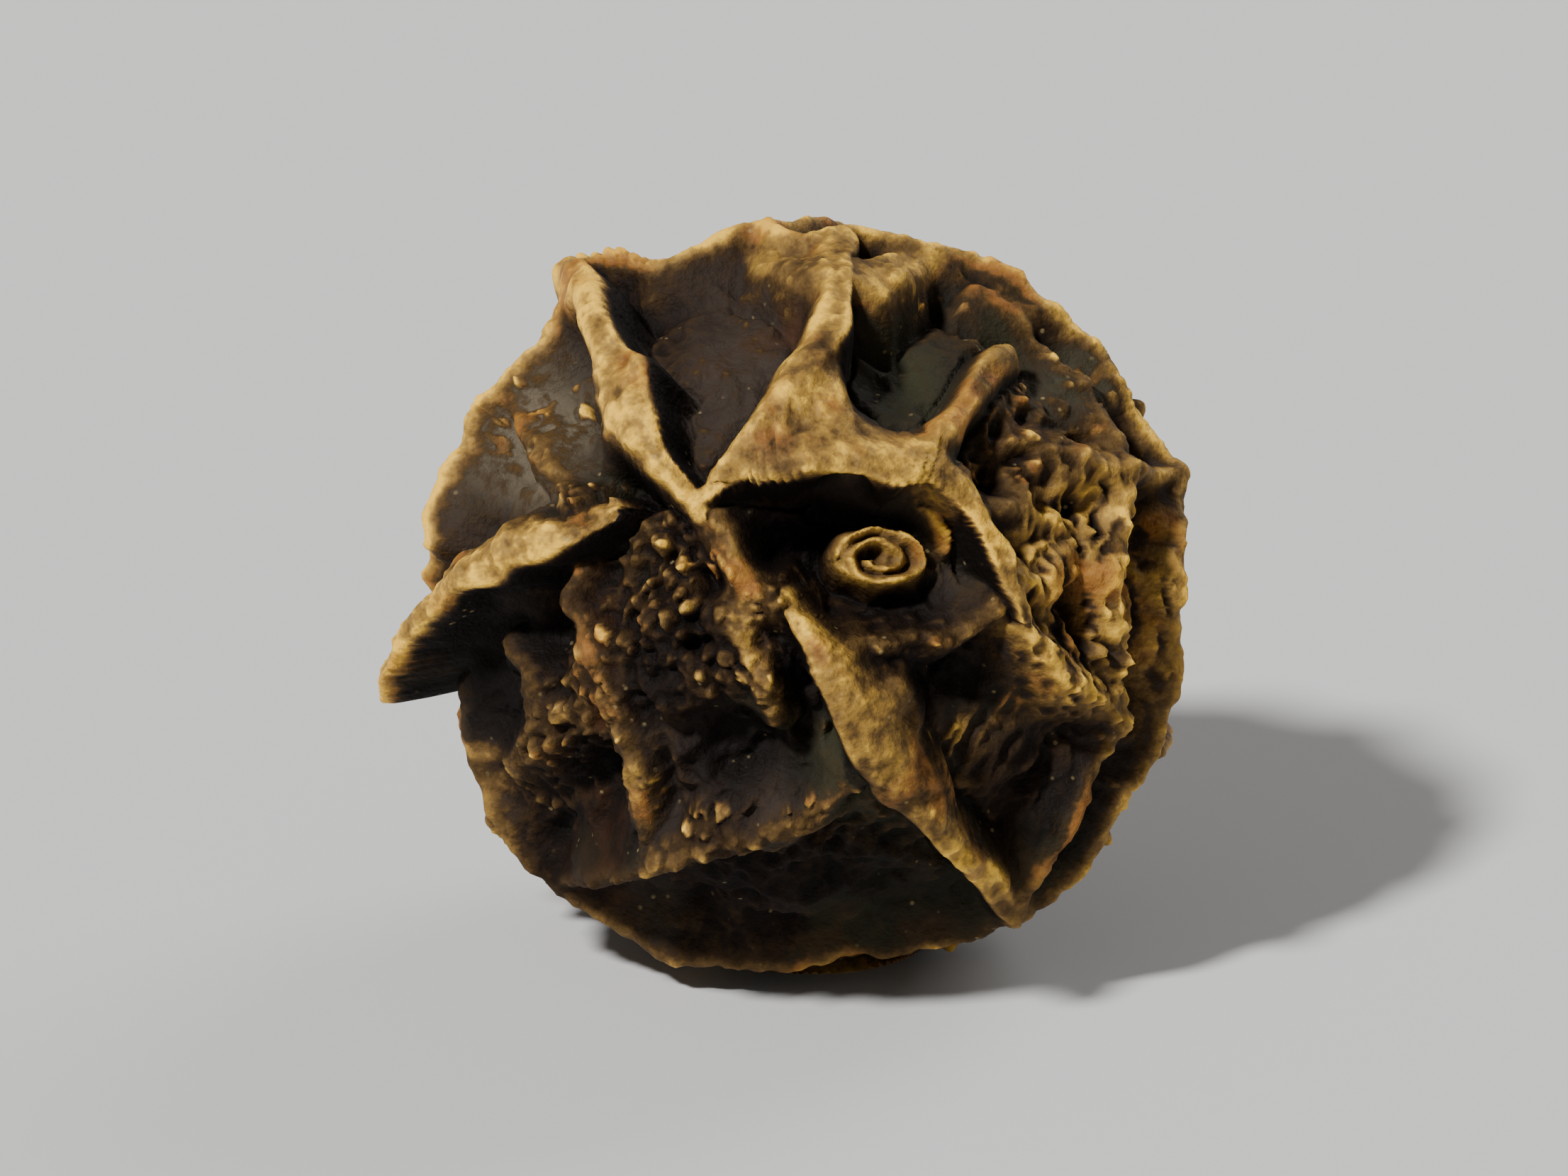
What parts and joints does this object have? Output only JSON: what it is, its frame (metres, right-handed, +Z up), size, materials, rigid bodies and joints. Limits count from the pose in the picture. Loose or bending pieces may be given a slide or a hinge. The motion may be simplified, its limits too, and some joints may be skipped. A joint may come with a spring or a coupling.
{
  "type": "black peppercorn",
  "caption": "Whole dried black peppercorn: swollen folds, a raised net of sharp ridges, a stalk scar in a pit, and a small flat spot that it rests on.",
  "frame": {"origin": "on the surface that the berry rests on, under the middle of its bounding box", "axes": "+Z up, away from the flat resting spot; -Y is the side with the stalk scar; +X is to the right as that side is seen"},
  "size_m": [0.0056, 0.0054, 0.0052],
  "materials": {
    "skin": "dried berry skin: tan crests on dark brown and grey-green hollows, matte with a slight waxy gloss"
  },
  "bodies": {
    "root": {"peppercorn": "skin"}
  },
  "joints": []
}
